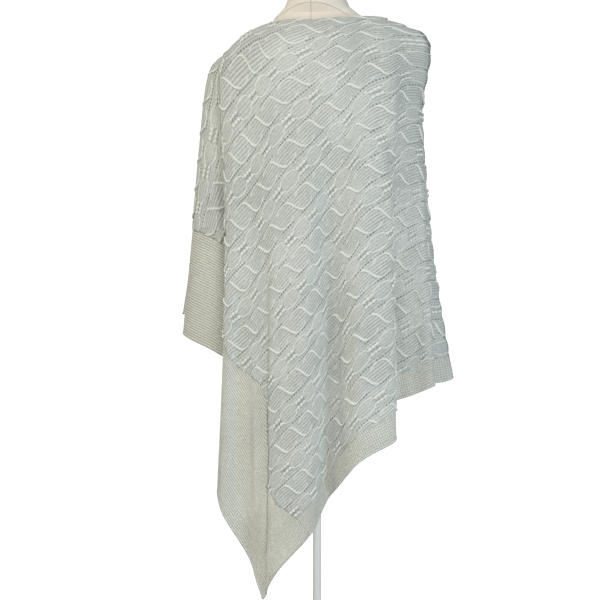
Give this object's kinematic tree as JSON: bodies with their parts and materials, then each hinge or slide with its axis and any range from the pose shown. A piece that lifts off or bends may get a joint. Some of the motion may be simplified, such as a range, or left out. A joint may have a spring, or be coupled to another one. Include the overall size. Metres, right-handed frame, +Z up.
{
  "type": "knitted poncho sweater on a dress form",
  "caption": "Cable-knit poncho sweater folded over one shoulder and joined over the other, hanging to a low point on a limbless stand form.",
  "frame": {"origin": "centre of the stand base's underside", "axes": "+Z up the pole, +X towards the wearer's right shoulder where the poncho is folded, -Y towards the wearer's back"},
  "size_m": [0.5268, 0.4403, 1.4823],
  "materials": {
    "back_panel": "cream cable knit",
    "back_end_band": "cream garter border",
    "back_side_band": "cream ribbed border",
    "front_panel": "cream cable knit",
    "front_end_band": "cream garter border",
    "front_side_band": "cream ribbed border",
    "form_torso": "stretched jersey cover",
    "form_neck_cap": "white, smooth",
    "stand_pole": "white enamel",
    "stand_base": "white enamel"
  },
  "bodies": {
    "root": {"back_panel": "back_panel", "back_end_band": "back_end_band", "back_side_band": "back_side_band", "front_panel": "front_panel", "front_end_band": "front_end_band", "front_side_band": "front_side_band", "form_torso": "form_torso", "form_neck_cap": "form_neck_cap", "stand_pole": "stand_pole", "stand_base": "stand_base"}
  },
  "joints": []
}
